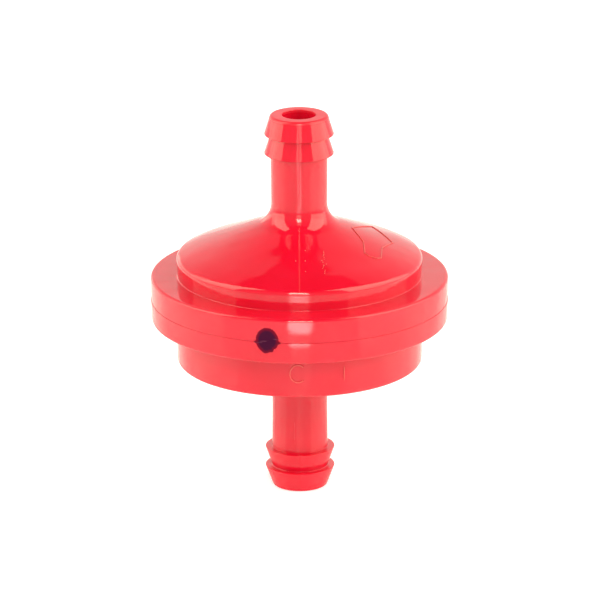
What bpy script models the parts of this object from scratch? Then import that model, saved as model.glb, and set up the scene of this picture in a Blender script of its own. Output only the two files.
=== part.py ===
"""Inline fuel filter for 6.35 mm (1/4 inch) fuel hose, +Z up, standing on its outlet end.

Two moulded shells are welded round a rim. A woven screen is trapped between them, and an ink mark
is stamped across the weld line. Each shell is moulded in one with its hose stem; here the two are
solids of their own, parted at the neck. The origin is the centre of the outlet end's flat face.
"""

import math

import bmesh
import bpy
from mathutils import Matrix, Vector

# Driving dimensions, in millimetres. Radii are measured from the axis of the two stems.
MM = 0.001
ROUND_SEGMENTS = 56
ARC_STEP_DEG = 23.0
CHAMFERED_BELOW = 0.25
FIT_GAP = 0.1

BORE_RADIUS = 2.0
BORE_MOUTH_ROUNDING = 0.18
TIP_RADIUS = 3.3
TIP_ROUNDING = 0.35
BARB_RADIUS = 4.14
BARB_PITCH = 2.35
BARB_EDGE_ROUNDING = 0.07

OUTLET_TIP_LENGTH = 2.5
OUTLET_STEM_RADIUS = 3.25
OUTLET_ROOT_RADIUS = 3.32
OUTLET_STEM_LENGTH = 10.85

INLET_TIP_LENGTH = 2.35
INLET_STEM_RADIUS = 3.3
INLET_ROOT_RADIUS = 3.38
INLET_STEM_LENGTH = 8.04

CHAMBER_RADIUS = 13.0
CHAMBER_CORNER = 0.8
CUP_WALL = 1.65
WALL = 1.45
STEM_FOOT_FILLET = 0.3
PORT_FLARE = 0.5
NECK_RADIUS = 6.1

CUP_HEIGHT = 5.15
CUP_DRAFT = 0.1
CUP_ROUNDING = 0.45

RIM_WIDTH = 3.0
RIM_DRAFT = 0.1
RIM_ROUNDING = 0.35
RIM_FILLET = 0.2
OUTLET_RIM_HEIGHT = 2.6
INLET_RIM_HEIGHT = 2.88

DOME_WALL_SETBACK = 0.15
DOME_LIP = 0.12
DOME_EDGE_HEIGHT = 2.32
DOME_EDGE_ROUNDING = 0.8
DOME_SHOULDER_SETBACK = 2.02
DOME_SHOULDER_RISE = 1.0
DOME_SHOULDER_ROUNDING = 15.0
DOME_CONE_RISE = 3.6
DOME_FILLET = 3.4

SEAT_LAND = 0.8
TONGUE_WIDTH = 0.9
TONGUE_HEIGHT = 0.9
TONGUE_ROUNDING = 0.12

SCREEN_RIM_WIDTH = 1.1
SCREEN_RIM_LAP = 0.4
SCREEN_RIM_SKIN = 0.02
SCREEN_THICKNESS = 0.46
SCREEN_THREAD_WIDTH = 0.75
SCREEN_THREAD_HEIGHT = 0.28
SCREEN_THREADS_EACH_WAY = 10

RIB_COUNT = 6
RIB_THICKNESS = 1.0
RIB_LENGTH = 5.8
RIB_RELIEF = 0.1

INK_WIDTH = 2.6
INK_HEIGHT = 3.15
INK_THICKNESS = 0.05
INK_STANDOFF = 0.02
INK_AZIMUTH_DEG = -12.4
INK_ABOVE_SEAM = 0.25
INK_CELLS = 10

# Levels and radii that follow from the driving dimensions.
CUP_RADIUS = CHAMBER_RADIUS + CUP_WALL
RIM_RADIUS = CUP_RADIUS + RIM_WIDTH
DOME_WALL_RADIUS = CUP_RADIUS - DOME_WALL_SETBACK
DOME_EDGE_RADIUS = DOME_WALL_RADIUS + DOME_LIP
DOME_SHOULDER_RADIUS = DOME_EDGE_RADIUS - DOME_SHOULDER_SETBACK
SCREEN_RADIUS = CHAMBER_RADIUS + SCREEN_RIM_WIDTH
SEAT_RADIUS = SCREEN_RADIUS + FIT_GAP
TONGUE_INNER = SEAT_RADIUS + SEAT_LAND
TONGUE_OUTER = TONGUE_INNER + TONGUE_WIDTH

OUTLET_STEM_TOP_Z = OUTLET_TIP_LENGTH + BARB_PITCH + OUTLET_STEM_LENGTH
FLOOR_Z = OUTLET_STEM_TOP_Z + WALL
RIM_BOTTOM_Z = OUTLET_STEM_TOP_Z + CUP_HEIGHT
SEAM_Z = RIM_BOTTOM_Z + OUTLET_RIM_HEIGHT
OUTLET_WELD_Z = SEAM_Z - FIT_GAP / 2
INLET_WELD_Z = SEAM_Z + FIT_GAP / 2
SCREEN_BOTTOM_Z = INLET_WELD_Z - FIT_GAP - SCREEN_THICKNESS
SEAT_Z = SCREEN_BOTTOM_Z - FIT_GAP
RIM_TOP_Z = SEAM_Z + INLET_RIM_HEIGHT
DOME_EDGE_Z = RIM_TOP_Z + DOME_EDGE_HEIGHT
DOME_SHOULDER_Z = DOME_EDGE_Z + DOME_SHOULDER_RISE
DOME_TOP_Z = DOME_SHOULDER_Z + DOME_CONE_RISE
CONE_SLOPE = DOME_CONE_RISE / (DOME_SHOULDER_RADIUS - INLET_STEM_RADIUS)
CONE_WALL = WALL * math.hypot(1.0, CONE_SLOPE)
NECK_HOLE = NECK_RADIUS + FIT_GAP
INLET_TIP_Z = DOME_TOP_Z + INLET_STEM_LENGTH + BARB_PITCH + INLET_TIP_LENGTH


def clear_scene():
    for obj in list(bpy.data.objects):
        bpy.data.objects.remove(obj, do_unlink=True)


def plastic(name, colour, roughness):
    """A moulded or printed finish: colour as linear RGB, no metal."""
    material = bpy.data.materials.new(name)
    material.use_nodes = True
    shader = material.node_tree.nodes["Principled BSDF"]
    shader.inputs["Base Color"].default_value = (*colour, 1.0)
    shader.inputs["Roughness"].default_value = roughness
    shader.inputs["Metallic"].default_value = 0.0
    material.diffuse_color = (*colour, 1.0)
    return material


def rounded(corners):
    """The closed outline through the (radius, height, rounding) corners, each rounded by an arc.

    A rounding too small to see as an arc is one chamfered facet.
    """
    points = []
    for index, (radius, height, rounding) in enumerate(corners):
        corner = Vector((radius, height))
        if rounding == 0:
            points.append(corner)
            continue
        before = Vector(corners[index - 1][:2]) - corner
        after = Vector(corners[(index + 1) % len(corners)][:2]) - corner
        turn = math.pi - before.angle(after)
        setback = rounding * math.tan(turn / 2)
        middle = before.normalized() + after.normalized()
        centre = corner + middle.normalized() * math.hypot(rounding, setback)
        start = corner + before.normalized() * setback - centre
        sweep = -start.angle_signed(corner + after.normalized() * setback - centre)
        steps = max(1, round(math.degrees(abs(sweep)) / ARC_STEP_DEG))
        if rounding < CHAMFERED_BELOW:
            steps = 1
        for step in range(steps + 1):
            points.append(centre + Matrix.Rotation(sweep * step / steps, 2) @ start)
    return points


def add_object(name, shape, material):
    """Makes an object of a finished bmesh, in metres, with its rounds shaded smooth."""
    bmesh.ops.recalc_face_normals(shape, faces=shape.faces)
    bmesh.ops.scale(shape, vec=(MM, MM, MM), verts=shape.verts)
    mesh = bpy.data.meshes.new(name)
    shape.to_mesh(mesh)
    shape.free()
    mesh.materials.append(material)
    mesh.shade_smooth()
    mesh.set_sharp_from_angle(angle=math.radians(35))
    obj = bpy.data.objects.new(name, mesh)
    bpy.context.scene.collection.objects.link(obj)
    return obj


def turned(name, outline, material):
    """Spins a closed outline of (radius, height) points once round the axis."""
    shape = bmesh.new()
    ring = [shape.verts.new((radius, 0.0, height)) for radius, height in outline]
    for index, vertex in enumerate(ring):
        shape.edges.new((ring[index - 1], vertex))
    bmesh.ops.spin(
        shape,
        geom=shape.verts[:] + shape.edges[:],
        cent=(0, 0, 0),
        axis=(0, 0, 1),
        angle=math.tau,
        steps=ROUND_SEGMENTS,
        use_merge=True,
    )
    return add_object(name, shape, material)


def stem_outside(tip_z, up, tip_length, root_radius):
    """The outside of a barbed hose stem, from its inner barb out to its end face.

    up is 1 for a stem that ends at its top and -1 for one that ends at its bottom.
    """
    first_edge = tip_z - up * tip_length
    second_edge = first_edge - up * BARB_PITCH
    return [
        (root_radius, second_edge, 0),
        (BARB_RADIUS, second_edge, BARB_EDGE_ROUNDING),
        (root_radius, first_edge, 0),
        (BARB_RADIUS, first_edge, BARB_EDGE_ROUNDING),
        (TIP_RADIUS, tip_z, TIP_ROUNDING),
        (BORE_RADIUS, tip_z, BORE_MOUTH_ROUNDING),
    ]


def outlet_stem_outline():
    """The lower stem's section, with the middle of the cup's floor as its neck."""
    outside = list(reversed(stem_outside(0.0, -1, OUTLET_TIP_LENGTH, OUTLET_ROOT_RADIUS)))
    outside += [
        (OUTLET_STEM_RADIUS, OUTLET_STEM_TOP_Z, STEM_FOOT_FILLET),
        (NECK_RADIUS, OUTLET_STEM_TOP_Z, 0),
    ]
    inside = [
        (NECK_RADIUS, FLOOR_Z, 0),
        (BORE_RADIUS, FLOOR_Z, PORT_FLARE),
    ]
    return rounded(outside + inside)


def outlet_shell_outline():
    """The lower shell's section: cup, half rim with the groove, screen seat and chamber."""
    rim_corner = RIM_RADIUS - RIM_DRAFT
    groove_outer = TONGUE_OUTER + FIT_GAP
    groove_inner = TONGUE_INNER - FIT_GAP
    groove_z = OUTLET_WELD_Z - TONGUE_HEIGHT
    outside = [
        (NECK_HOLE, OUTLET_STEM_TOP_Z, 0),
        (CUP_RADIUS - CUP_DRAFT, OUTLET_STEM_TOP_Z, CUP_ROUNDING),
        (CUP_RADIUS, RIM_BOTTOM_Z, RIM_FILLET),
        (rim_corner, RIM_BOTTOM_Z, RIM_ROUNDING),
        (RIM_RADIUS, OUTLET_WELD_Z, 0),
    ]
    inside = [
        (groove_outer, OUTLET_WELD_Z, 0),
        (groove_outer, groove_z, TONGUE_ROUNDING),
        (groove_inner, groove_z, TONGUE_ROUNDING),
        (groove_inner, OUTLET_WELD_Z, 0),
        (SEAT_RADIUS, OUTLET_WELD_Z, 0),
        (SEAT_RADIUS, SEAT_Z, 0),
        (CHAMBER_RADIUS, SEAT_Z, 0),
        (CHAMBER_RADIUS, FLOOR_Z, CHAMBER_CORNER),
        (NECK_HOLE, FLOOR_Z, 0),
    ]
    return rounded(outside + inside)


def dome_z(radius):
    """The height of the dome's conical outside at a radius."""
    return DOME_TOP_Z - CONE_SLOPE * (radius - INLET_STEM_RADIUS)


def ceiling_z(radius):
    """The height of the chamber's conical ceiling at a radius."""
    return dome_z(radius) - CONE_WALL


def inlet_stem_outline():
    """The upper stem's section, with the crown of the dome as its neck."""
    outside = [
        (NECK_RADIUS, dome_z(NECK_RADIUS), 0),
        (INLET_STEM_RADIUS, DOME_TOP_Z, DOME_FILLET),
    ]
    outside += stem_outside(INLET_TIP_Z, 1, INLET_TIP_LENGTH, INLET_ROOT_RADIUS)
    inside = [
        (BORE_RADIUS, ceiling_z(BORE_RADIUS), PORT_FLARE),
        (NECK_RADIUS, ceiling_z(NECK_RADIUS), 0),
    ]
    return rounded(outside + inside)


def inlet_shell_outline():
    """The upper shell's section: half rim with the tongue, domed cover and chamber."""
    tongue_z = INLET_WELD_Z - TONGUE_HEIGHT
    outside = [
        (RIM_RADIUS - RIM_DRAFT, INLET_WELD_Z, 0),
        (RIM_RADIUS, RIM_TOP_Z, RIM_ROUNDING),
        (DOME_WALL_RADIUS, RIM_TOP_Z, RIM_FILLET),
        (DOME_EDGE_RADIUS, DOME_EDGE_Z, DOME_EDGE_ROUNDING),
        (DOME_SHOULDER_RADIUS, DOME_SHOULDER_Z, DOME_SHOULDER_ROUNDING),
        (NECK_HOLE, dome_z(NECK_HOLE), 0),
    ]
    inside = [
        (NECK_HOLE, ceiling_z(NECK_HOLE), 0),
        (CHAMBER_RADIUS, ceiling_z(CHAMBER_RADIUS), CHAMBER_CORNER),
        (CHAMBER_RADIUS, INLET_WELD_Z, 0),
        (TONGUE_INNER, INLET_WELD_Z, 0),
        (TONGUE_INNER, tongue_z, TONGUE_ROUNDING),
        (TONGUE_OUTER, tongue_z, TONGUE_ROUNDING),
        (TONGUE_OUTER, INLET_WELD_Z, 0),
    ]
    return rounded(outside + inside)


def add_block(shape, low, high, turn):
    """Adds a box between two corners, turned about the axis, to a bmesh in millimetres."""
    low = Vector(low)
    high = Vector(high)
    place = turn @ Matrix.Translation((low + high) / 2) @ Matrix.Diagonal((*(high - low), 1.0))
    bmesh.ops.create_cube(shape, size=1.0, matrix=place)


def union(obj, helper, joins_itself):
    """Welds a hidden helper's solid onto an object."""
    helper.hide_render = True
    helper.display_type = "WIRE"
    helper.hide_set(True)
    modifier = obj.modifiers.new("Joined", "BOOLEAN")
    modifier.operation = "UNION"
    modifier.solver = "EXACT"
    modifier.use_self = joins_itself
    modifier.object = helper


def screen_ribs(material):
    """The ribs on the outlet chamber's floor, which keep the screen from bowing into the port."""
    shape = bmesh.new()
    low = (CHAMBER_RADIUS - RIB_LENGTH, -RIB_THICKNESS / 2, FLOOR_Z - WALL / 2)
    high = (CHAMBER_RADIUS + CUP_WALL / 2, RIB_THICKNESS / 2, SEAT_Z - RIB_RELIEF)
    for index in range(RIB_COUNT):
        angle = math.tau * (index + 0.5) / RIB_COUNT
        add_block(shape, low, high, Matrix.Rotation(angle, 4, "Z"))
    return add_object("screen_ribs_guide", shape, material)


def screen_threads(material):
    """The crossing threads of the screen: one set lies low and the other rides over it."""
    shape = bmesh.new()
    reach = CHAMBER_RADIUS + SCREEN_RIM_LAP
    pitch = 2 * CHAMBER_RADIUS / (SCREEN_THREADS_EACH_WAY + 1)
    half = SCREEN_THREAD_WIDTH / 2
    top = SCREEN_BOTTOM_Z + SCREEN_THICKNESS
    levels = (
        (0.0, SCREEN_BOTTOM_Z, SCREEN_BOTTOM_Z + SCREEN_THREAD_HEIGHT),
        (math.pi / 2, top - SCREEN_THREAD_HEIGHT, top),
    )
    for angle, bottom, over in levels:
        for index in range(SCREEN_THREADS_EACH_WAY):
            across = pitch * (index - (SCREEN_THREADS_EACH_WAY - 1) / 2)
            length = math.sqrt(reach**2 - (abs(across) + half) ** 2)
            low = (-length, across - half, bottom)
            high = (length, across + half, over)
            add_block(shape, low, high, Matrix.Rotation(angle, 4, "Z"))
    return add_object("screen_threads_guide", shape, material)


def screen_rim_outline():
    """The flat pressed rim that seals the edge of the weave; its faces stay clear of the threads'."""
    inner = CHAMBER_RADIUS - SCREEN_RIM_LAP
    bottom = SCREEN_BOTTOM_Z - SCREEN_RIM_SKIN
    top = SCREEN_BOTTOM_Z + SCREEN_THICKNESS + SCREEN_RIM_SKIN
    return [
        Vector((SCREEN_RADIUS, bottom)),
        Vector((SCREEN_RADIUS, top)),
        Vector((inner, top)),
        Vector((inner, bottom)),
    ]


def ink_mark(material):
    """A thin oval of ink that follows the rim's curve across the weld line."""
    shape = bmesh.new()
    bmesh.ops.create_grid(shape, x_segments=INK_CELLS, y_segments=INK_CELLS, size=1.0)
    inner = RIM_RADIUS + INK_STANDOFF
    facing = math.radians(INK_AZIMUTH_DEG - 90)
    faces = bmesh.ops.extrude_face_region(shape, geom=shape.faces[:], use_keep_orig=True)
    skin = {item for item in faces["geom"] if isinstance(item, bmesh.types.BMVert)}
    for vertex in shape.verts:
        u, v, _ = vertex.co
        # The square grid is drawn in to a round one, then wrapped on the rim.
        x = u * math.sqrt(1 - v * v / 2) * INK_WIDTH / 2
        z = v * math.sqrt(1 - u * u / 2) * INK_HEIGHT / 2
        radius = inner + (INK_THICKNESS if vertex in skin else 0.0)
        angle = facing + x / inner
        height = SEAM_Z + INK_ABOVE_SEAM + z
        vertex.co = (radius * math.cos(angle), radius * math.sin(angle), height)
    return add_object("ink_mark", shape, material)


def build():
    clear_scene()
    red = plastic("red_moulded_plastic", (0.93, 0.014, 0.03), 0.2)
    nylon = plastic("screen_nylon", (0.86, 0.84, 0.78), 0.45)
    ink = plastic("stamp_ink", (0.05, 0.012, 0.045), 0.35)

    turned("outlet_stem", outlet_stem_outline(), red)
    outlet_shell = turned("outlet_shell", outlet_shell_outline(), red)
    union(outlet_shell, screen_ribs(red), False)
    turned("inlet_shell", inlet_shell_outline(), red)
    turned("inlet_stem", inlet_stem_outline(), red)
    filter_screen = turned("filter_screen", screen_rim_outline(), nylon)
    union(filter_screen, screen_threads(nylon), True)
    ink_mark(ink)


build()
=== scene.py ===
"""Inline fuel filter, +Z up on its outlet end, dressed over its solid model for a studio picture.

The sections follow the filter as it is put together: the lower shell, the screen laid in it, the
upper shell welded on, the ink stamp across the weld, and then the studio that it stands in.
Sizes are in millimetres unless a name or a comment says otherwise.
"""

import math

import bmesh
import bpy
from mathutils import Matrix, Vector, noise


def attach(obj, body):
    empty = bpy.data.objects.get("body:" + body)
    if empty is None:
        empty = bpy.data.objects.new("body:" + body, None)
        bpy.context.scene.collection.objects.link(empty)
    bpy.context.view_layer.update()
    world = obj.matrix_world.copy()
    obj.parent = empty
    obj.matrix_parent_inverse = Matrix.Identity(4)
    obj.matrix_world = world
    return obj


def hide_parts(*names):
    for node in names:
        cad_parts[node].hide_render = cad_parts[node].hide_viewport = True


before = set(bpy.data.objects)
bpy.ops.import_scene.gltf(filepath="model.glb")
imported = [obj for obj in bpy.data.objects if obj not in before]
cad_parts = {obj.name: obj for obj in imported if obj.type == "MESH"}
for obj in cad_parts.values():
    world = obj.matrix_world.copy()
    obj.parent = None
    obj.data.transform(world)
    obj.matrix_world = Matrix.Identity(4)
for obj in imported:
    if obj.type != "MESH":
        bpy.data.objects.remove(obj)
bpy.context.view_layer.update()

# The lower shell.
# The outlet half: a barbed hose stem under a round cup, whose upper edge carries half of the rim.
# It is one injection moulding in glossy red fuel-proof plastic, parted front to back, so a fine
# raised line runs up the front and the back of its stem. Six ribs on its floor hold the screen up.
MM = 0.001
BORE = 2.0
BARB = 4.14
BARB_PITCH = 2.35
BARB_EDGE = 0.07
OUTLET_END_FACE = 3.22
CHAMBER = 13.0
CUP = 14.65
RIM = 17.65
RIM_DRAFT = 0.1
SEAM_STEP = 0.05
SEAT = 14.2
GROOVE_IN = 15.0
GROOVE_OUT = 16.0
WELD_GAP = 0.004
CUP_FOOT_Z = 15.7
CUP_INSIDE_Z = 17.15
RIM_UNDER_Z = 20.85
SEAM_Z = 23.45
GROOVE_Z = 22.45
SEAT_Z = 22.84
PARTED_FROM_Z = 0.4
PARTED_TO_Z = 45.5
PLAIN_TO_Z = 28.6
STEM_LINE_SHARE = 0.13
DOME_LINE_HIGHLIGHT = 0.14


def rounded_profile(corners, arc_step=9.0):
    """The closed outline through (radius, height, rounding) corners, each rounded by an arc."""
    points = []
    for index, (radius, height, rounding) in enumerate(corners):
        corner = Vector((radius, height))
        if rounding == 0:
            points.append(corner)
            continue
        before = (Vector(corners[index - 1][:2]) - corner).normalized()
        after = (Vector(corners[(index + 1) % len(corners)][:2]) - corner).normalized()
        setback = rounding * math.tan((math.pi - before.angle(after)) / 2)
        centre = corner + (before + after).normalized() * math.hypot(rounding, setback)
        start = corner + before * setback - centre
        sweep = -start.angle_signed(corner + after * setback - centre)
        steps = max(2, math.ceil(math.degrees(abs(sweep)) / arc_step))
        for step in range(steps + 1):
            points.append(centre + Matrix.Rotation(sweep * step / steps, 2) @ start)
    return points


def hose_barbs(end_z, up, first_barb, root, end_face):
    """The outside of a hose stem, from its inner barb out to its end face."""
    first_z = end_z - up * first_barb
    second_z = first_z - up * BARB_PITCH
    return [
        (root, second_z, 0.1),
        (BARB, second_z, BARB_EDGE),
        (root, first_z, 0.1),
        (BARB, first_z, BARB_EDGE),
        (end_face, end_z, 0.38),
        (BORE, end_z, 0.1),
    ]


def turned_moulding(profile):
    """Spins a profile once round the axis, with narrow columns at the front and the back."""
    shape = bmesh.new()
    ring = [shape.verts.new((0.0, -radius, height)) for radius, height in profile]
    for index, vertex in enumerate(ring):
        shape.edges.new((ring[index - 1], vertex))
    swept = shape.verts[:] + shape.edges[:]
    for degrees, steps in ((2.5, 10), (175.0, 88), (5.0, 20), (175.0, 88), (2.5, 10)):
        spun = bmesh.ops.spin(
            shape,
            geom=swept,
            cent=(0, 0, 0),
            axis=(0, 0, 1),
            angle=math.radians(degrees),
            steps=steps,
            use_merge=False,
        )
        swept = spun["geom_last"]
    bmesh.ops.remove_doubles(shape, verts=shape.verts[:], dist=0.0005)
    bmesh.ops.recalc_face_normals(shape, faces=shape.faces[:])
    return shape


def raise_parting_line(shape, crest, half_width, rough_from, rough_to):
    """Lifts the outside into a fine ridge where the two halves of the mould met.

    Between the heights rough_from and rough_to, on the barbs, the ridge is ragged flash; on the
    plain stem it is almost polished away, and on the dome its crest is painted pale as a painted
    highlight. The cup, rim and skirt have none.
    """
    highlight_and_pale_specks = shape.verts.layers.float.new("highlight_and_pale_specks")
    shape.normal_update()
    lifts = []
    for vertex in shape.verts:
        x, y, z = vertex.co
        outward = vertex.normal.y * math.copysign(1.0, y)
        if abs(x) > half_width or abs(y) > RIM - 0.6 or vertex.normal.z < -0.7:
            continue
        if z < PARTED_FROM_Z or z > PARTED_TO_Z:
            continue
        if outward < 0.02 or abs(y) < BORE + 0.6:
            continue
        height = crest * (1.0 + 0.5 * noise.noise(Vector((0.0, y, z * 0.9))))
        if rough_from < z < rough_to:
            height *= 0.5 + 1.2 * noise.noise(Vector((x * 9.0, 3.0, z * 4.0)))
        elif abs(y) < BARB:
            height *= STEM_LINE_SHARE
        elif z < PLAIN_TO_Z:
            continue
        else:
            # The dome's crest is painted pale: a painted highlight.
            vertex[highlight_and_pale_specks] = DOME_LINE_HIGHLIGHT * (1.0 - (x / half_width) ** 2)
        lifts.append((vertex, vertex.normal * height * (1.0 - (x / half_width) ** 2)))
    for vertex, lift in lifts:
        vertex.co += lift


def finished(name, shape, material, *nodes, slot):
    """Turns a bmesh in millimetres into a smooth-shaded piece that rides with the part."""
    bmesh.ops.scale(shape, vec=(MM, MM, MM), verts=shape.verts[:])
    mesh = bpy.data.meshes.new(name)
    shape.to_mesh(mesh)
    shape.free()
    mesh.materials.append(material)
    mesh.shade_smooth()
    mesh.set_sharp_from_angle(angle=math.radians(38))
    piece = bpy.data.objects.new(name, mesh)
    bpy.context.scene.collection.objects.link(piece)
    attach(piece, "root")
    if nodes:
        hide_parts(*nodes)
    return piece


def red_moulded_plastic():
    """Glossy red plastic: faint flow clouds in the colour, a slightly uneven skin and fine grain."""
    material = bpy.data.materials.new("red_moulded_plastic")
    material.use_nodes = True
    nodes = material.node_tree.nodes
    links = material.node_tree.links
    shader = nodes["Principled BSDF"]
    shader.inputs["IOR"].default_value = 1.53
    shader.inputs["Subsurface Weight"].default_value = 0.15
    shader.inputs["Subsurface Radius"].default_value = (1.0, 0.12, 0.08)
    shader.inputs["Subsurface Scale"].default_value = 0.0012
    place = nodes.new("ShaderNodeTexCoord")

    clouds = nodes.new("ShaderNodeTexNoise")
    clouds.inputs["Scale"].default_value = 160.0
    clouds.inputs["Detail"].default_value = 3.0
    links.new(place.outputs["Object"], clouds.inputs["Vector"])
    tint = nodes.new("ShaderNodeValToRGB")
    tint.color_ramp.elements[0].position = 0.3
    tint.color_ramp.elements[0].color = (0.63, 0.0035, 0.022, 1.0)
    tint.color_ramp.elements[1].position = 0.7
    tint.color_ramp.elements[1].color = (0.66, 0.0062, 0.029, 1.0)
    links.new(clouds.outputs["Fac"], tint.inputs["Fac"])
    # Raised crests and marks are painted pale as a painted highlight; specks get the same pale paint.
    crests = nodes.new("ShaderNodeAttribute")
    crests.attribute_name = "highlight_and_pale_specks"
    pale = nodes.new("ShaderNodeMix")
    pale.data_type = "RGBA"
    pale.inputs["B"].default_value = (0.95, 0.24, 0.2, 1.0)
    links.new(crests.outputs["Fac"], pale.inputs["Factor"])
    links.new(tint.outputs["Color"], pale.inputs["A"])
    links.new(pale.outputs["Result"], shader.inputs["Base Color"])

    polish = nodes.new("ShaderNodeMapRange")
    polish.inputs["From Min"].default_value = 0.3
    polish.inputs["From Max"].default_value = 0.7
    polish.inputs["To Min"].default_value = 0.05
    polish.inputs["To Max"].default_value = 0.09
    links.new(clouds.outputs["Fac"], polish.inputs["Value"])
    upright = nodes.new("ShaderNodeMapping")
    upright.inputs["Scale"].default_value = (2600.0, 2600.0, 190.0)
    links.new(place.outputs["Object"], upright.inputs["Vector"])
    rubs = nodes.new("ShaderNodeTexNoise")
    rubs.inputs["Scale"].default_value = 1.0
    rubs.inputs["Detail"].default_value = 2.0
    links.new(upright.outputs["Vector"], rubs.inputs["Vector"])
    scuffed = nodes.new("ShaderNodeMapRange")
    scuffed.inputs["From Min"].default_value = 0.55
    scuffed.inputs["From Max"].default_value = 0.8
    links.new(rubs.outputs["Fac"], scuffed.inputs["Value"])
    apart = nodes.new("ShaderNodeSeparateXYZ")
    links.new(place.outputs["Object"], apart.inputs["Vector"])
    on_cup = nodes.new("ShaderNodeMapRange")
    on_cup.inputs["From Min"].default_value = 0.0207
    on_cup.inputs["From Max"].default_value = 0.0209
    on_cup.inputs["To Min"].default_value = 0.3
    on_cup.inputs["To Max"].default_value = 0.0
    links.new(apart.outputs["Z"], on_cup.inputs["Value"])
    links.new(on_cup.outputs["Result"], scuffed.inputs["To Max"])
    trimmed = nodes.new("ShaderNodeMapRange")
    trimmed.inputs["From Min"].default_value = 0.0454
    trimmed.inputs["From Max"].default_value = 0.0457
    trimmed.inputs["To Max"].default_value = 0.32
    links.new(apart.outputs["Z"], trimmed.inputs["Value"])
    worn = nodes.new("ShaderNodeMath")
    worn.operation = "MAXIMUM"
    links.new(scuffed.outputs["Result"], worn.inputs[0])
    links.new(trimmed.outputs["Result"], worn.inputs[1])
    dulled = nodes.new("ShaderNodeMath")
    dulled.operation = "MAXIMUM"
    links.new(polish.outputs["Result"], dulled.inputs[0])
    links.new(worn.outputs["Value"], dulled.inputs[1])
    links.new(dulled.outputs["Value"], shader.inputs["Roughness"])

    sinks = nodes.new("ShaderNodeTexNoise")
    sinks.inputs["Scale"].default_value = 330.0
    sinks.inputs["Detail"].default_value = 1.0
    links.new(place.outputs["Object"], sinks.inputs["Vector"])
    uneven = nodes.new("ShaderNodeBump")
    uneven.inputs["Strength"].default_value = 0.35
    uneven.inputs["Distance"].default_value = 0.00018
    links.new(sinks.outputs["Fac"], uneven.inputs["Height"])
    grain = nodes.new("ShaderNodeTexNoise")
    grain.inputs["Scale"].default_value = 5200.0
    links.new(place.outputs["Object"], grain.inputs["Vector"])
    skin = nodes.new("ShaderNodeBump")
    skin.inputs["Strength"].default_value = 0.12
    skin.inputs["Distance"].default_value = 0.00001
    links.new(grain.outputs["Fac"], skin.inputs["Height"])
    links.new(uneven.outputs["Normal"], skin.inputs["Normal"])
    links.new(skin.outputs["Normal"], shader.inputs["Normal"])
    return material


red = red_moulded_plastic()

outlet_corners = list(reversed(hose_barbs(0.0, -1, 2.5, 3.32, OUTLET_END_FACE)))
outlet_corners += [
    (3.25, CUP_FOOT_Z, 0.3),
    (CUP - 0.1, CUP_FOOT_Z, 0.45),
    (CUP, RIM_UNDER_Z, 0.2),
    (RIM - RIM_DRAFT, RIM_UNDER_Z, 0.35),
    (RIM, SEAM_Z - WELD_GAP / 2, 0.03),
    (GROOVE_OUT + 0.1, SEAM_Z - WELD_GAP / 2, 0),
    (GROOVE_OUT + 0.1, GROOVE_Z, 0.12),
    (GROOVE_IN, GROOVE_Z, 0.12),
    (GROOVE_IN, SEAM_Z - WELD_GAP / 2, 0),
    (SEAT, SEAM_Z - WELD_GAP / 2, 0),
    (SEAT, SEAT_Z, 0),
    (CHAMBER, SEAT_Z, 0),
    (CHAMBER, CUP_INSIDE_Z, 0.8),
    (BORE, CUP_INSIDE_Z, 0.5),
]
outlet = turned_moulding(rounded_profile(outlet_corners))
raise_parting_line(outlet, crest=0.03, half_width=0.13, rough_from=0.3, rough_to=5.2)

RIBS = 6
RIB_CENTRE = (10.3, 0, 19.6)
RIB_SIZE = (6.0, 1.0, 6.2)
for rib in range(RIBS):
    turn = Matrix.Rotation(math.tau * (rib + 0.5) / RIBS, 4, "Z")
    place = turn @ Matrix.Translation(RIB_CENTRE) @ Matrix.Diagonal(RIB_SIZE).to_4x4()
    bmesh.ops.create_cube(outlet, size=1.0, matrix=place)

# Two plain mould marks, an open ring and a bar with rounded tops, stand on the front of the cup.
# The place of each is how far right of the front it lies, measured round the cup, and its height.
RING_MARK = 0.95
STROKE = 0.075
RING_PLACE = (-0.2, 18.73, 0)
BAR_PLACE = (5.3, 18.5, 0)
BAR_STRETCH = (0.13, 2.0, 0.13)
MARK_LIFT = 0.02
MARKS_HIGHLIGHT = 0.35
marks = bmesh.new()
stroke_place = Matrix.Translation((RING_MARK, 0, 0)) @ Matrix.Rotation(math.pi / 2, 4, "X")
stroke = bmesh.ops.create_circle(marks, segments=8, radius=STROKE, matrix=stroke_place)
stroke_edges = list({edge for vertex in stroke["verts"] for edge in vertex.link_edges})
ring_start = Matrix.Rotation(math.radians(50), 3, "Z")
bmesh.ops.rotate(marks, verts=stroke["verts"], cent=(0, 0, 0), matrix=ring_start)
bmesh.ops.spin(
    marks,
    geom=stroke["verts"] + stroke_edges,
    cent=(0, 0, 0),
    axis=(0, 0, 1),
    angle=math.radians(260),
    steps=26,
    use_merge=False,
)
bmesh.ops.holes_fill(marks, edges=marks.edges[:], sides=8)
bmesh.ops.scale(marks, vec=(1.0, 1.12, 1.0), verts=marks.verts[:])
bmesh.ops.translate(marks, vec=RING_PLACE, verts=marks.verts[:])
bar = bmesh.ops.create_uvsphere(marks, u_segments=10, v_segments=8, radius=0.5)
bmesh.ops.scale(marks, vec=BAR_STRETCH, verts=bar["verts"])
bmesh.ops.translate(marks, vec=BAR_PLACE, verts=bar["verts"])
for vertex in marks.verts:
    reach = CUP + MARK_LIFT + vertex.co.z
    around = vertex.co.x / CUP - math.pi / 2
    vertex.co = (reach * math.cos(around), reach * math.sin(around), vertex.co.y)
bmesh.ops.recalc_face_normals(marks, faces=marks.faces[:])
marks_mesh = bpy.data.meshes.new("cup_marks")
marks.to_mesh(marks_mesh)
marks.free()
unmarked = set(outlet.verts)
outlet.from_mesh(marks_mesh)
bpy.data.meshes.remove(marks_mesh)
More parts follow.
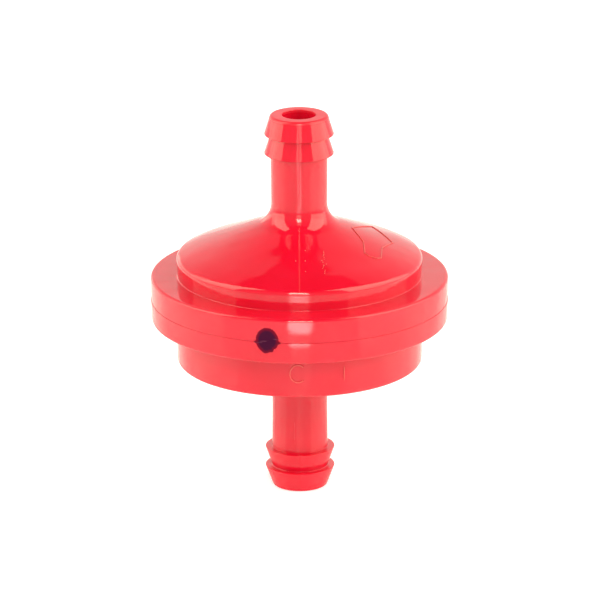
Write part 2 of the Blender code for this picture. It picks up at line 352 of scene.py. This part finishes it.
# The marks are painted pale all over as a painted highlight.
highlight_and_specks_layer = outlet.verts.layers.float["highlight_and_pale_specks"]
for vertex in outlet.verts:
    if vertex not in unmarked:
        vertex[highlight_and_specks_layer] = MARKS_HIGHLIGHT

finished("outlet_shell_moulding", outlet, red, "outlet_shell", "outlet_stem", slot="red_plastic")

# The filter screen.
# A disc of woven nylon thread with its edge pressed flat and heat-sealed, dropped on the ledge in
# the lower shell before the shells are welded. Each thread rides over and under its neighbours.
SCREEN_EDGE = 14.1
SCREEN_INNER = 12.7
SCREEN_TUCK = 0.3
SCREEN_LOW_Z = 22.94
SCREEN_HIGH_Z = 23.4
THREADS = 34
THREAD = 0.11


def screen_nylon():
    """Off-white nylon, a little translucent, with the faint unevenness of drawn thread."""
    material = bpy.data.materials.new("screen_nylon_weave")
    material.use_nodes = True
    nodes = material.node_tree.nodes
    links = material.node_tree.links
    shader = nodes["Principled BSDF"]
    shader.inputs["Roughness"].default_value = 0.42
    shader.inputs["Subsurface Weight"].default_value = 0.1
    shader.inputs["Subsurface Scale"].default_value = 0.0003
    place = nodes.new("ShaderNodeTexCoord")
    fibre = nodes.new("ShaderNodeTexNoise")
    fibre.inputs["Scale"].default_value = 900.0
    links.new(place.outputs["Object"], fibre.inputs["Vector"])
    shade = nodes.new("ShaderNodeValToRGB")
    shade.color_ramp.elements[0].position = 0.35
    shade.color_ramp.elements[0].color = (0.8, 0.77, 0.7, 1.0)
    shade.color_ramp.elements[1].position = 0.65
    shade.color_ramp.elements[1].color = (0.88, 0.86, 0.81, 1.0)
    links.new(fibre.outputs["Fac"], shade.inputs["Fac"])
    links.new(shade.outputs["Color"], shader.inputs["Base Color"])
    return material


screen = bmesh.new()
middle_z = (SCREEN_LOW_Z + SCREEN_HIGH_Z) / 2
pitch = 2 * CHAMBER / THREADS
for turn_quarters in (0, 1):
    for index in range(THREADS):
        across = pitch * (index - (THREADS - 1) / 2)
        reach = math.sqrt((SCREEN_INNER + SCREEN_TUCK) ** 2 - across**2)
        waves = round(4 * reach / pitch)
        thread = bmesh.ops.create_grid(screen, x_segments=waves, y_segments=6, size=1.0)
        over = 1 if (index + turn_quarters) % 2 else -1
        for vertex in thread["verts"]:
            along = vertex.co.x * reach
            around = math.pi * vertex.co.y
            lift = over * THREAD * math.cos(math.pi * (along / pitch + 0.5))
            z = middle_z + lift + THREAD * math.sin(around)
            y = across + THREAD * math.cos(around)
            vertex.co = (along, y, z) if turn_quarters == 0 else (-y, along, z)
bmesh.ops.remove_doubles(screen, verts=screen.verts[:], dist=0.0005)
bmesh.ops.holes_fill(screen, edges=screen.edges[:], sides=8)
pressed = bmesh.new()
pressed_profile = rounded_profile(
    [
        (SCREEN_EDGE, SCREEN_LOW_Z, 0.08),
        (SCREEN_EDGE, SCREEN_HIGH_Z, 0.08),
        (SCREEN_INNER, SCREEN_HIGH_Z, 0.15),
        (SCREEN_INNER, SCREEN_LOW_Z, 0.15),
    ],
    arc_step=30.0,
)
pressed_ring = [pressed.verts.new((radius, 0.0, height)) for radius, height in pressed_profile]
for index, vertex in enumerate(pressed_ring):
    pressed.edges.new((pressed_ring[index - 1], vertex))
bmesh.ops.spin(
    pressed,
    geom=pressed.verts[:] + pressed.edges[:],
    cent=(0, 0, 0),
    axis=(0, 0, 1),
    angle=math.tau,
    steps=120,
    use_merge=True,
)
pressed_mesh = bpy.data.meshes.new("pressed_edge")
pressed.to_mesh(pressed_mesh)
pressed.free()
screen.from_mesh(pressed_mesh)
bpy.data.meshes.remove(pressed_mesh)
bmesh.ops.recalc_face_normals(screen, faces=screen.faces[:])
finished("filter_screen_weave", screen, screen_nylon(), "filter_screen", slot="screen_nylon")

# The upper shell.
# The inlet half: a second barbed stem that flares into a domed cover, and the other half of the
# rim. It is moulded in the same red plastic and spin-welded to the lower shell. Its dome keeps the
# mould's parting line, front and back, and has a few fine specks and a plain flow arrow.
INLET_END_Z = 45.99
RIM_TOP_Z = 26.33
DOME_FOOT = 14.5
DOME_EDGE = 14.62
DOME_EDGE_Z = 28.65
DOME_SHOULDER = 12.6
DOME_SHOULDER_Z = 29.65
DOME_TOP_Z = 33.25
DOME_WALL = 1.45
STEM_FILLET = 2.9
PLAIN_STEM_Z = 36.0
INLET_STEM = 3.3
INLET_END_FACE = 3.4

slope = (DOME_TOP_Z - DOME_SHOULDER_Z) / (DOME_SHOULDER - INLET_STEM)
ceiling_z = DOME_TOP_Z - DOME_WALL * math.hypot(1.0, slope)
inlet_corners = [
    (RIM - SEAM_STEP, SEAM_Z + WELD_GAP / 2, 0.02),
    (RIM, RIM_TOP_Z, 0.35),
    (DOME_FOOT, RIM_TOP_Z, 0.1),
    (DOME_EDGE, DOME_EDGE_Z, 0.8),
    (DOME_SHOULDER, DOME_SHOULDER_Z, 15.0),
    (INLET_STEM, DOME_TOP_Z, STEM_FILLET),
]
inlet_corners += hose_barbs(INLET_END_Z, 1, 2.35, 3.38, INLET_END_FACE)
inlet_corners += [
    (BORE, ceiling_z + slope * (INLET_STEM - BORE), 0.5),
    (CHAMBER, ceiling_z - slope * (CHAMBER - INLET_STEM), 0.8),
    (CHAMBER, SEAM_Z + WELD_GAP / 2, 0),
    (GROOVE_IN + 0.1, SEAM_Z + WELD_GAP / 2, 0),
    (GROOVE_IN + 0.1, GROOVE_Z + 0.15, 0.12),
    (GROOVE_OUT, GROOVE_Z + 0.15, 0.12),
    (GROOVE_OUT, SEAM_Z + WELD_GAP / 2, 0),
]
inlet_profile = rounded_profile(inlet_corners, arc_step=6.0)
inlet = turned_moulding(inlet_profile)
raise_parting_line(inlet, crest=0.018, half_width=0.075, rough_from=40.9, rough_to=45.6)

stem_start = next(index for index, point in enumerate(inlet_profile) if point.y > PLAIN_STEM_Z)
dome_outside = [point for point in inlet_profile[:stem_start] if point.y > DOME_EDGE_Z - 0.1]


def dome_height(x, y):
    """The height of the dome's outside over a point, read from its profile."""
    radius = math.hypot(x, y)
    for far, near in zip(dome_outside, dome_outside[1:]):
        if near.x <= radius <= far.x:
            return near.y + (far.y - near.y) * (radius - near.x) / (far.x - near.x)
    return DOME_SHOULDER_Z


# The arrow is a fine bead along half its corners and their mirror image, from its tail to its tip.
ARROW_X = 8.65
ARROW_Y = -3.2
BEAD = 0.075
BEAD_LIFT = 0.025
ARROW_HIGHLIGHT = 0.3
SPECKS_Y = -9.4
SPECKS_PALE = 0.7
arrow_half = [(-3.25, 0.45), (-2.9, 0.95), (-0.2, 1.1), (2.7, 2.4), (7.4, 0.0)]
arrow_corners = arrow_half + [(along, -across) for along, across in reversed(arrow_half[:-1])]
highlight_and_specks_layer = inlet.verts.layers.float["highlight_and_pale_specks"]
for index, (along, across) in enumerate(arrow_corners):
    corner = Vector((ARROW_X + across, ARROW_Y + along))
    last_along, last_across = arrow_corners[index - 1]
    last_corner = Vector((ARROW_X + last_across, ARROW_Y + last_along))
    steps = math.ceil((corner - last_corner).length / 0.3)
    run = [last_corner.lerp(corner, step / steps) for step in range(steps + 1)]
    spots = [Vector((spot.x, spot.y, dome_height(spot.x, spot.y) + BEAD_LIFT)) for spot in run]
    for start, end in zip(spots, spots[1:]):
        facing = (end - start).to_track_quat("Z", "Y").to_matrix().to_4x4()
        bead = bmesh.ops.create_cone(
            inlet,
            cap_ends=True,
            segments=8,
            radius1=BEAD,
            radius2=BEAD,
            depth=(end - start).length + 0.03,
            matrix=Matrix.Translation((start + end) / 2) @ facing,
        )
        # Each bead is painted pale as a painted highlight.
        for vertex in bead["verts"]:
            vertex[highlight_and_specks_layer] = ARROW_HIGHLIGHT

# The specks stand in three short files: three beside the parting line, a cluster, and one alone.
# Each file has its place across, its scatter, its length toward the camera and its specks.
speck_files = [(0.72, 0.12, 5.5, 3), (2.9, 0.55, 4.2, 15), (-0.42, 0.0, 0.0, 1)]
for file_x, scatter, file_length, specks in speck_files:
    for index in range(specks):
        seed = Vector((index * 1.7, file_x * 4.0, 9.0))
        share = (index + 0.5) / specks - 0.5
        speck_x = file_x + scatter * noise.noise(seed)
        speck_y = SPECKS_Y + file_length * share
        size = 0.05 + 0.06 * abs(noise.noise(seed + Vector((0, 0, 17.0))))
        speck_place = Matrix.Translation((speck_x, speck_y, dome_height(speck_x, speck_y)))
        speck = bmesh.ops.create_icosphere(inlet, subdivisions=1, radius=size, matrix=speck_place)
        # The specks are painted pale.
        for vertex in speck["verts"]:
            vertex[highlight_and_specks_layer] = SPECKS_PALE

finished("inlet_shell_moulding", inlet, red, "inlet_shell", "inlet_stem", slot="red_plastic")

# The ink stamp.
# A dab of dark violet marking ink about 3 mm across, stamped over the weld after the leak test. It
# is a thin film, ragged at its edge, that wicks a little way along the weld and wears in places.
INK_AZIMUTH = math.radians(-12.4)
INK_CENTRE_Z = 23.7
INK_HALF_WIDTH = 1.38
INK_HALF_HEIGHT = 1.6


def marking_ink():
    """Dark violet ink that thins to dark red at its edge, with fine paler scratches."""
    material = bpy.data.materials.new("marking_ink")
    material.use_nodes = True
    nodes = material.node_tree.nodes
    links = material.node_tree.links
    shader = nodes["Principled BSDF"]
    shader.inputs["Specular IOR Level"].default_value = 0.05
    depth = nodes.new("ShaderNodeAttribute")
    depth.attribute_name = "ink_depth"
    body = nodes.new("ShaderNodeValToRGB")
    body.color_ramp.elements[0].position = 0.0
    body.color_ramp.elements[0].color = (0.2, 0.0025, 0.016, 1.0)
    body.color_ramp.elements[1].position = 0.3
    body.color_ramp.elements[1].color = (0.046, 0.003, 0.026, 1.0)
    links.new(depth.outputs["Fac"], body.inputs["Fac"])
    place = nodes.new("ShaderNodeTexCoord")
    stretch = nodes.new("ShaderNodeMapping")
    stretch.inputs["Rotation"].default_value = (0.0, math.radians(35), 0.0)
    stretch.inputs["Scale"].default_value = (600.0, 600.0, 2600.0)
    links.new(place.outputs["Object"], stretch.inputs["Vector"])
    wear = nodes.new("ShaderNodeTexNoise")
    wear.inputs["Scale"].default_value = 1.0
    wear.inputs["Detail"].default_value = 3.0
    links.new(stretch.outputs["Vector"], wear.inputs["Vector"])
    scratches = nodes.new("ShaderNodeMapRange")
    scratches.inputs["From Min"].default_value = 0.66
    scratches.inputs["From Max"].default_value = 0.76
    links.new(wear.outputs["Fac"], scratches.inputs["Value"])
    worn = nodes.new("ShaderNodeMix")
    worn.data_type = "RGBA"
    worn.inputs["B"].default_value = (0.12, 0.03, 0.06, 1.0)
    links.new(scratches.outputs["Result"], worn.inputs["Factor"])
    links.new(body.outputs["Color"], worn.inputs["A"])
    links.new(worn.outputs["Result"], shader.inputs["Base Color"])
    gloss = nodes.new("ShaderNodeMapRange")
    gloss.inputs["To Min"].default_value = 0.3
    gloss.inputs["To Max"].default_value = 0.5
    links.new(wear.outputs["Fac"], gloss.inputs["Value"])
    links.new(gloss.outputs["Result"], shader.inputs["Roughness"])
    return material


def film_radius(z):
    """The radius of the ink's back at a height: it follows the drafted rim and rounds over the weld."""
    if z < SEAM_Z:
        return RIM + 0.012 - RIM_DRAFT * (SEAM_Z - z) / (SEAM_Z - RIM_UNDER_Z)
    share = min(1.0, (z - SEAM_Z) / 0.5)
    return RIM + 0.012 - 0.7 * SEAM_STEP * share * share * (3.0 - 2.0 * share)


ink = bmesh.new()
bmesh.ops.create_circle(ink, cap_ends=True, cap_tris=True, segments=96, radius=1.0)
spokes = [edge for edge in ink.edges if min(v.co.length for v in edge.verts) < 0.5]
bmesh.ops.subdivide_edges(ink, edges=spokes, cuts=11)
depth_layer = ink.verts.layers.float.new("ink_depth")
for vertex in ink.verts:
    share = vertex.co.length
    around = math.atan2(vertex.co.y, vertex.co.x)
    heading = Vector((math.cos(around), math.sin(around), 0.0))
    edge = 0.965 + 0.07 * noise.noise(heading * 2.2) + 0.03 * noise.noise(heading * 9.0)
    edge -= 0.12 * math.exp(-(((around + 0.86) / 0.1) ** 2))
    x = share * edge * INK_HALF_WIDTH * math.cos(around)
    z = share * edge * INK_HALF_HEIGHT * math.sin(around)
    for side, length in ((-1, 0.34), (1, 0.36)):
        off = (z + INK_CENTRE_Z - SEAM_Z) / 0.12
        if x * side > 0:
            x += side * length * share**8 * math.exp(-off * off)
    vertex[depth_layer] = max(0.0, 1.0 - share)
    z += INK_CENTRE_Z
    film = film_radius(z)
    direction = INK_AZIMUTH - math.pi / 2 + x / RIM
    vertex.co = (film * math.cos(direction), film * math.sin(direction), z)
bmesh.ops.recalc_face_normals(ink, faces=ink.faces[:])
if sum(face.normal.y * face.calc_area() for face in ink.faces) > 0:
    bmesh.ops.reverse_faces(ink, faces=ink.faces[:])
film_geometry = bmesh.ops.extrude_face_region(ink, geom=ink.faces[:], use_keep_orig=True)
film_top = [item for item in film_geometry["geom"] if isinstance(item, bmesh.types.BMVert)]
for vertex in film_top:
    outward = Vector((vertex.co.x, vertex.co.y, 0.0)).normalized()
    vertex.co += outward * (0.006 + 0.03 * min(1.0, vertex[depth_layer] * 5.0))
bmesh.ops.recalc_face_normals(ink, faces=ink.faces[:])
finished("ink_film", ink, marking_ink(), "ink_mark", slot="stamp_ink")

# The studio.
# A white table under a pale tent: a softbox stands at each side, tall narrow lights face the front
# and their sheen on the table is a painted sheen that glows in its material, and the open top of the
# tent is dark. The camera looks a little down with a long lens.


def stage_white():
    """A polished white table top: plain white to the camera, while the part's gloss sees painted sheen.

    Only reflections see the painted sheen, whose glow is dimmed near the part's foot as painted
    shade, and only diffuse light sees a painted bounce glow, so the lamps can stay weak enough for
    the part's flat tops to keep their red when they are seen from behind.
    """
    material = bpy.data.materials.new("stage_white")
    material.use_nodes = True
    nodes = material.node_tree.nodes
    links = material.node_tree.links
    polished = nodes["Principled BSDF"]
    polished.inputs["Base Color"].default_value = (0.8, 0.8, 0.8, 1.0)
    polished.inputs["Roughness"].default_value = 0.09
    polished.inputs["Emission Color"].default_value = (1.0, 1.0, 1.0, 1.0)
    plain = nodes.new("ShaderNodeBsdfPrincipled")
    plain.inputs["Base Color"].default_value = (0.77, 0.79, 0.86, 1.0)
    plain.inputs["Roughness"].default_value = 0.9
    plain.inputs["Specular IOR Level"].default_value = 0.0
    plain.inputs["Emission Color"].default_value = (1.0, 1.0, 1.0, 1.0)
    plain.inputs["Emission Strength"].default_value = 0.45
    path = nodes.new("ShaderNodeLightPath")
    glow = nodes.new("ShaderNodeMath")
    glow.operation = "MULTIPLY"
    links.new(path.outputs["Is Glossy Ray"], glow.inputs[0])
    place = nodes.new("ShaderNodeTexCoord")
    away = nodes.new("ShaderNodeVectorMath")
    away.operation = "LENGTH"
    links.new(place.outputs["Object"], away.inputs[0])
    # Painted shade: the table's glow is dimmer near the part's foot.
    painted_foot_shade = nodes.new("ShaderNodeMapRange")
    painted_foot_shade.inputs["From Min"].default_value = 0.008
    painted_foot_shade.inputs["From Max"].default_value = 0.03
    painted_foot_shade.inputs["To Min"].default_value = 0.06
    painted_foot_shade.inputs["To Max"].default_value = 0.28
    links.new(away.outputs["Value"], painted_foot_shade.inputs["Value"])

    # The front light's painted sheen glows on the table as a wedge that widens toward the camera.
    spot = nodes.new("ShaderNodeSeparateXYZ")
    links.new(place.outputs["Object"], spot.inputs["Vector"])
    aside = nodes.new("ShaderNodeMath")
    aside.operation = "ABSOLUTE"
    links.new(spot.outputs["X"], aside.inputs[0])
    ahead = nodes.new("ShaderNodeMath")
    ahead.operation = "MULTIPLY_ADD"
    ahead.inputs[1].default_value = -1.0
    ahead.inputs[2].default_value = -0.01
    links.new(spot.outputs["Y"], ahead.inputs[0])
    in_front = nodes.new("ShaderNodeMath")
    in_front.operation = "MAXIMUM"
    in_front.inputs[1].default_value = 0.0001
    links.new(ahead.outputs["Value"], in_front.inputs[0])
    bearing = nodes.new("ShaderNodeMath")
    bearing.operation = "DIVIDE"
    links.new(aside.outputs["Value"], bearing.inputs[0])
    links.new(in_front.outputs["Value"], bearing.inputs[1])
    wedge = nodes.new("ShaderNodeMapRange")
    wedge.interpolation_type = "SMOOTHSTEP"
    wedge.inputs["From Min"].default_value = 0.11
    wedge.inputs["From Max"].default_value = 0.18
    wedge.inputs["To Min"].default_value = 1.0
    wedge.inputs["To Max"].default_value = 0.0
    links.new(bearing.outputs["Value"], wedge.inputs["Value"])
    begins = nodes.new("ShaderNodeMapRange")
    begins.interpolation_type = "SMOOTHSTEP"
    begins.inputs["From Min"].default_value = 0.066
    begins.inputs["From Max"].default_value = 0.086
    begins.inputs["To Max"].default_value = 6.2
    links.new(in_front.outputs["Value"], begins.inputs["Value"])
    fades = nodes.new("ShaderNodeMapRange")
    fades.interpolation_type = "SMOOTHSTEP"
    fades.inputs["From Min"].default_value = 0.092
    fades.inputs["From Max"].default_value = 0.104
    fades.inputs["To Min"].default_value = 1.0
    fades.inputs["To Max"].default_value = 0.28
    links.new(in_front.outputs["Value"], fades.inputs["Value"])
    patch = nodes.new("ShaderNodeMath")
    patch.operation = "MULTIPLY"
    links.new(begins.outputs["Result"], patch.inputs[0])
    links.new(fades.outputs["Result"], patch.inputs[1])
    painted_sheen = nodes.new("ShaderNodeMath")
    painted_sheen.operation = "MULTIPLY_ADD"
    links.new(wedge.outputs["Result"], painted_sheen.inputs[0])
    links.new(patch.outputs["Value"], painted_sheen.inputs[1])
    links.new(painted_foot_shade.outputs["Result"], painted_sheen.inputs[2])
    links.new(painted_sheen.outputs["Value"], glow.inputs[1])
    # Painted bounce light: the table glows for diffuse rays as if it were lit.
    painted_bounce = nodes.new("ShaderNodeMath")
    painted_bounce.operation = "MULTIPLY_ADD"
    painted_bounce.inputs[1].default_value = 0.55
    links.new(path.outputs["Is Diffuse Ray"], painted_bounce.inputs[0])
    links.new(glow.outputs["Value"], painted_bounce.inputs[2])
    links.new(painted_bounce.outputs["Value"], polished.inputs["Emission Strength"])
    seen = nodes.new("ShaderNodeMixShader")
    links.new(path.outputs["Is Camera Ray"], seen.inputs["Fac"])
    links.new(polished.outputs["BSDF"], seen.inputs[1])
    links.new(plain.outputs["BSDF"], seen.inputs[2])
    links.new(seen.outputs["Shader"], nodes["Material Output"].inputs["Surface"])
    return material


table_shape = bmesh.new()
bmesh.ops.create_grid(table_shape, x_segments=1, y_segments=1, size=4.0)
bmesh.ops.translate(table_shape, vec=(0, 0, -0.00002), verts=table_shape.verts[:])
table_mesh = bpy.data.meshes.new("table")
table_shape.to_mesh(table_mesh)
table_shape.free()
table_mesh.materials.append(stage_white())
table = bpy.data.objects.new("table", table_mesh)
bpy.context.scene.collection.objects.link(table)

world = bpy.data.worlds.new("tent")
world.use_nodes = True
bpy.context.scene.world = world
world_nodes = world.node_tree.nodes
world_links = world.node_tree.links
background = world_nodes["Background"]
direction = world_nodes.new("ShaderNodeTexCoord")
parts = world_nodes.new("ShaderNodeSeparateXYZ")
world_links.new(direction.outputs["Generated"], parts.inputs["Vector"])
wall = world_nodes.new("ShaderNodeMapRange")
wall.inputs["From Min"].default_value = -0.25
wall.inputs["From Max"].default_value = 0.25
wall.inputs["To Min"].default_value = 0.5
wall.inputs["To Max"].default_value = 1.0
world_links.new(parts.outputs["Y"], wall.inputs["Value"])
height = world_nodes.new("ShaderNodeValToRGB")
height.color_ramp.elements[0].position = 0.3
height.color_ramp.elements[0].color = (1.05, 1.05, 0.96, 1.0)
height.color_ramp.elements[1].position = 1.0
height.color_ramp.elements[1].color = (0.03, 0.03, 0.03, 1.0)
for level_z, brightness in ((0.5, 0.85), (0.74, 0.52), (0.84, 0.42), (0.856, 0.06)):
    stop = height.color_ramp.elements.new(level_z)
    stop.color = (brightness, brightness, brightness * 0.92, 1.0)
world_links.new(parts.outputs["Z"], height.inputs["Fac"])
tent = world_nodes.new("ShaderNodeMix")
tent.data_type = "RGBA"
tent.blend_type = "MULTIPLY"
tent.inputs["Factor"].default_value = 1.0
world_links.new(height.outputs["Color"], tent.inputs["A"])
world_links.new(wall.outputs["Result"], tent.inputs["B"])
seen_direct = world_nodes.new("ShaderNodeLightPath")
level = world_nodes.new("ShaderNodeMix")
level.data_type = "RGBA"
level.inputs["B"].default_value = (1.0, 1.0, 1.0, 1.0)
world_links.new(seen_direct.outputs["Is Camera Ray"], level.inputs["Factor"])
world_links.new(tent.outputs["Result"], level.inputs["A"])
world_links.new(level.outputs["Result"], background.inputs["Color"])
background.inputs["Strength"].default_value = 1.0


def lamp(name, azimuth, spread, low, high, distance, radiance, warmth):
    """An area lamp that the camera doesn't see, turned to the part.

    azimuth is its middle and spread its width, in degrees round from the front, to the left first;
    low and high are its edges in degrees above the table; radiance is its brightness.
    """
    data = bpy.data.lights.new(name, "AREA")
    data.shape = "RECTANGLE"
    data.size = 2 * distance * math.tan(math.radians(spread / 2))
    bottom, top = (distance * math.tan(math.radians(angle)) for angle in (low, high))
    data.size_y = top - bottom
    data.energy = radiance * math.pi * data.size * data.size_y
    data.color = (1.0, 1.0 - 0.06 * warmth, 1.0 - 0.28 * warmth)
    light = bpy.data.objects.new(name, data)
    around = math.radians(azimuth)
    outward = Vector((-math.sin(around), -math.cos(around), 0.0))
    light.location = outward * distance + Vector((0.0, 0.0, 0.024 + (bottom + top) / 2))
    light.rotation_euler = (-outward).to_track_quat("-Z", "Y").to_euler()
    light.visible_camera = False
    bpy.context.scene.collection.objects.link(light)


lamp("left_softbox", 82, 44, 4, 24, 0.4, 2.6, 1.0)
lamp("left_softbox_top", 82, 44, 24, 70, 0.4, 3.5, 1.0)
lamp("left_wing", 111, 14, 0, 40, 0.42, 1.7, 1.0)
lamp("left_back", 139, 42, 2, 14, 0.45, 1.1, 1.0)
lamp("right_softbox", -75, 58, 4, 24, 0.4, 2.6, 1.0)
lamp("right_softbox_top", -75, 58, 24, 70, 0.4, 3.5, 1.0)
lamp("right_wing", -111, 14, 0, 40, 0.42, 1.7, 1.0)
lamp("front_lamp", 0, 17, 6, 18, 0.5, 2.4, 0.8)
lamp("front_bank", 0, 17, 27, 42, 0.5, 12.0, 0.8)
lamp("front_strip", 0, 17, 18, 58, 0.55, 2.2, 0.8)

SENSOR_WIDTH = 36.0
FOCAL_PIXELS = 6183.1
PICTURE_PIXELS = 600
TILT = 0.315
ROLL = -0.0034
AIM = Vector((0.000056, 0.0, 0.02303))
DISTANCE = 0.7343
camera_data = bpy.data.cameras.new("studio_camera")
camera_data.sensor_width = SENSOR_WIDTH
camera_data.lens = SENSOR_WIDTH * FOCAL_PIXELS / PICTURE_PIXELS
camera_data.clip_start = 0.05
camera_data.clip_end = 20.0
camera = bpy.data.objects.new("studio_camera", camera_data)
camera.location = AIM + DISTANCE * Vector((0.0, -math.cos(TILT), math.sin(TILT)))
looking = Matrix.Rotation(math.pi / 2 - TILT, 4, "X") @ Matrix.Rotation(ROLL, 4, "Z")
camera.rotation_euler = looking.to_euler()
bpy.context.scene.collection.objects.link(camera)
bpy.context.scene.camera = camera
bpy.context.scene.view_settings.view_transform = "Standard"
